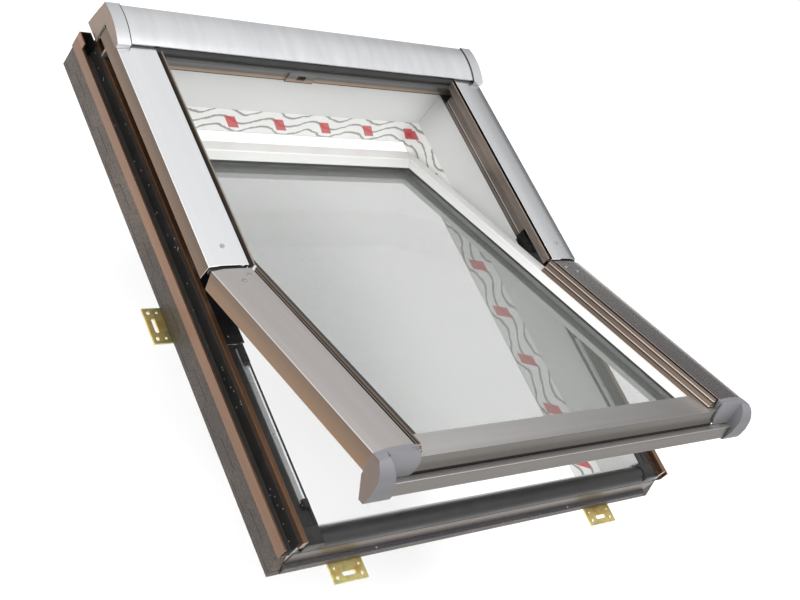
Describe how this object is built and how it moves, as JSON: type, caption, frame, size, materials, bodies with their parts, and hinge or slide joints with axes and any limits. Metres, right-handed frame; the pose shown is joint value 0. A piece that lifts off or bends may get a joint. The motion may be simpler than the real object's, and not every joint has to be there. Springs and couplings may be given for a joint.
{
  "type": "roof window",
  "caption": "Centre-pivot roof window in its frame: metal-clad plastic profiles, hood, double glazing and fixing brackets, stored with the sash partly open.",
  "frame": {"origin": "middle of the four outer screw holes of the end brackets, in the plane where the fixing brackets rest on the roof battens", "axes": "+X across the window to the right seen from outside, +Y up the slope of the roof, +Z outward from the roof; the window lies flat in its roof plane"},
  "size_m": [0.868, 0.9596, 0.3796],
  "materials": {
    "pvc_white": "smooth",
    "insulation_foam": "speckled foam",
    "sheet_brown": "gloss lacquer",
    "gutter_black": "satin",
    "rubber_black": "satin",
    "steel": "brushed",
    "zinc_yellow": "yellow passivated zinc",
    "sheet_silver": "metallic lacquer",
    "sheet_taupe": "metallic lacquer",
    "cap_grey": "satin",
    "glass": "clear",
    "spacer_aluminium": "satin",
    "handle_metal": "satin"
  },
  "bodies": {
    "frame": {"frame_head": "pvc_white", "frame_sill": "pvc_white", "frame_jamb_left": "pvc_white", "frame_jamb_right": "pvc_white", "insulation_head": "insulation_foam", "insulation_sill": "insulation_foam", "insulation_left": "insulation_foam", "insulation_right": "insulation_foam", "flange_left": "sheet_brown", "flange_right": "sheet_brown", "gutter_left": "gutter_black", "gutter_right": "gutter_black", "inner_lip_left": "sheet_brown", "inner_lip_right": "sheet_brown", "rebate_gasket_left": "rubber_black", "rebate_gasket_right": "rubber_black", "rail_left": "steel", "rail_right": "steel", "guide_blocks": "gutter_black", "sill_roll_gasket": "rubber_black", "sill_cladding": "sheet_brown", "head_carrier": "sheet_brown", "upper_carrier_left": "sheet_brown", "upper_carrier_right": "sheet_brown", "upper_cover_left": "sheet_silver", "upper_cover_right": "sheet_silver", "upper_cover_screws": "sheet_silver", "hood": "sheet_silver", "hood_cap_left": "sheet_silver", "hood_cap_right": "sheet_silver", "hood_seal": "rubber_black", "gutter_ends": "sheet_brown", "fixing_brackets": "zinc_yellow", "bracket_screws": "zinc_yellow", "hinge_plate_left": "steel", "hinge_plate_right": "steel", "strike_plate": "steel"},
    "sash": {"sash_head": "pvc_white", "sash_sill": "pvc_white", "sash_stile_left": "pvc_white", "sash_stile_right": "pvc_white", "glazing_bead": "pvc_white", "outer_pane": "glass", "inner_pane": "glass", "glass_spacer": "spacer_aluminium", "glazing_gasket": "rubber_black", "lower_carrier_left": "sheet_brown", "lower_carrier_right": "sheet_brown", "lower_cover_left": "sheet_taupe", "lower_cover_right": "sheet_taupe", "lower_cover_screws": "sheet_taupe", "bottom_rail": "sheet_taupe", "drip_ledge": "sheet_taupe", "sash_cap_left": "cap_grey", "sash_cap_right": "cap_grey", "hinge_arm_left": "steel", "hinge_arm_right": "steel", "lock_case": "handle_metal"},
    "handle": {"handle": "handle_metal"},
    "latch": {"latch_bolt": "steel"}
  },
  "joints": [
    {"name": "sash_pivot", "type": "hinge", "parent": "frame", "child": "sash", "pos_m": [0, -0.03825, 0.133], "axis": [-1, 0, 0], "range_deg": [-21.7, 103.3]},
    {"name": "handle_turn", "type": "hinge", "parent": "sash", "child": "handle", "pos_m": [0, 0.31124, -0.08142], "axis": [0, -0.3697, -0.9291], "range_deg": [0, 90]},
    {"name": "latch_slide", "type": "slide", "parent": "sash", "child": "latch", "axis": [0, 0.9291, -0.3697], "range_m": [0, 0.008]}
  ],
  "couplings": [
    {"joint": "latch_slide", "follows": "handle_turn", "m_per_rad": 0.00509}
  ]
}
